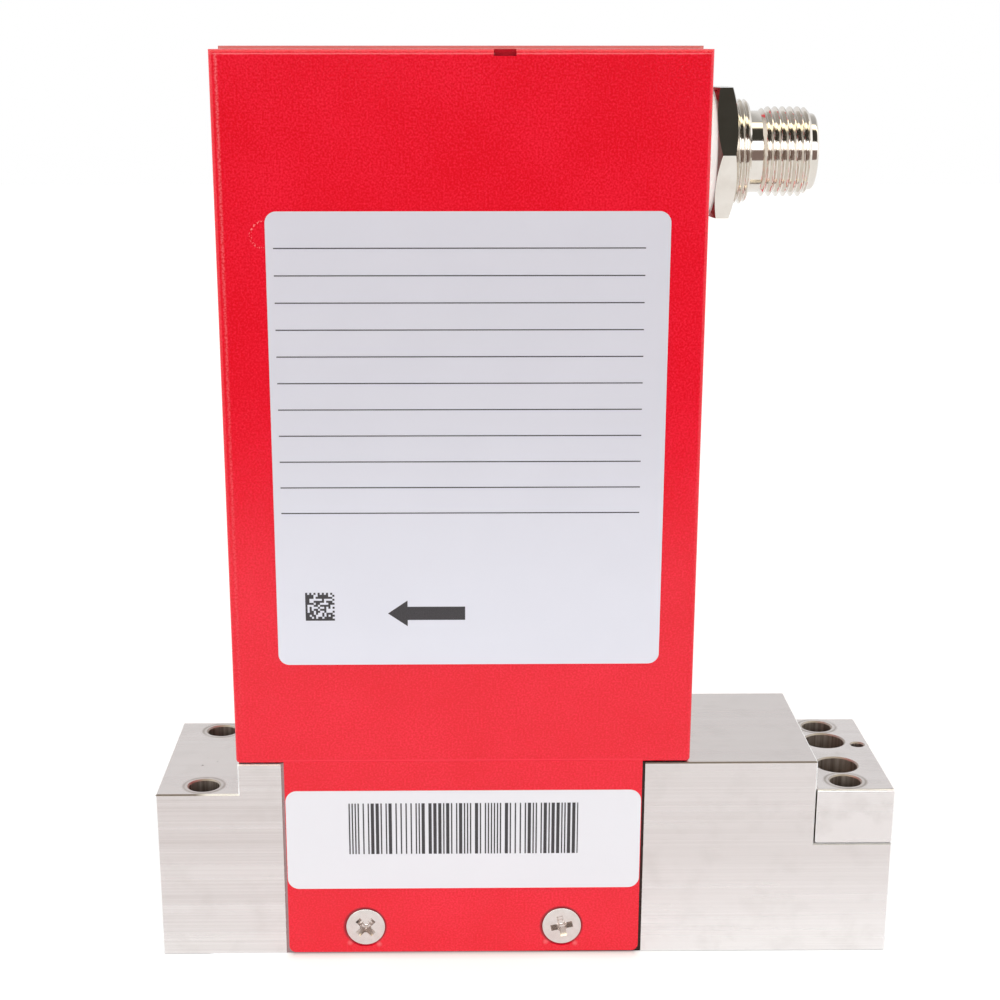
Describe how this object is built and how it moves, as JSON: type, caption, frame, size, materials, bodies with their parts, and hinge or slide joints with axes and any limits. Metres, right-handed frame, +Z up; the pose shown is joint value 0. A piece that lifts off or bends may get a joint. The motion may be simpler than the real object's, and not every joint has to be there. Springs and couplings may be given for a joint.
{
  "type": "mass flow controller",
  "caption": "Slim gas flow controller for a surface-mount panel: a tall folded-sheet case on a stepped stainless block, with a threaded round plug connector on its side.",
  "frame": {"origin": "centre of the flat underside of the flow body", "axes": "+Z up from the mounting face, +X towards the inlet and the bus connector, +Y away from the face with the labels"},
  "size_m": [0.105, 0.0287, 0.1266],
  "materials": {
    "ground_stainless": "ground, fine lines",
    "turned_stainless": "turned",
    "screw_steel": "plain",
    "screw_nickel": "nickel-plated",
    "red_paint": "textured gloss paint",
    "label_film": "satin polyester film",
    "nickel_plate": "bright nickel plate",
    "gold_plate": "gold plate",
    "black_plastic": "moulded",
    "white_plastic": "moulded",
    "seal_rubber": "moulded",
    "piezo_ceramic": "sintered ceramic",
    "coil_winding": "wound and varnished",
    "bare_aluminium": "plain",
    "circuit_board": "solder mask"
  },
  "bodies": {
    "root": {"flow_body": "ground_stainless", "inlet_block": "ground_stainless", "inlet_block_screws": "screw_steel", "front_cover": "red_paint", "rear_cover": "red_paint", "cover_screws": "screw_nickel", "rating_label": "label_film", "barcode_label": "label_film", "connector_shell": "nickel_plate", "connector_insert": "black_plastic", "connector_pins": "gold_plate", "connector_washer": "white_plastic", "connector_gasket": "seal_rubber", "connector_nut": "nickel_plate", "valve_body": "turned_stainless", "valve_screws": "screw_steel", "valve_seat": "turned_stainless", "valve_diaphragm": "turned_stainless", "valve_plunger": "turned_stainless", "valve_ball": "turned_stainless", "stack_end_caps": "turned_stainless", "piezo_stack": "piezo_ceramic", "preload_screw": "turned_stainless", "preload_nut": "turned_stainless", "sensor_base": "turned_stainless", "sensor_screws": "screw_steel", "sensor_seals": "turned_stainless", "sensor_tube": "turned_stainless", "sensor_coils": "coil_winding", "sensor_case": "bare_aluminium", "bypass_element": "turned_stainless", "bypass_seal": "turned_stainless", "pressure_sensor": "turned_stainless", "pressure_sensor_seal": "turned_stainless", "pressure_sensor_clamp": "bare_aluminium", "pressure_sensor_screws": "screw_steel", "board_bracket": "bare_aluminium", "board_spacers": "bare_aluminium", "board_screws": "screw_steel", "main_board": "circuit_board", "board_chips": "black_plastic", "board_capacitors": "bare_aluminium", "power_inductor": "black_plastic", "board_plugs": "white_plastic", "link_board": "circuit_board", "board_link": "black_plastic"}
  },
  "joints": []
}
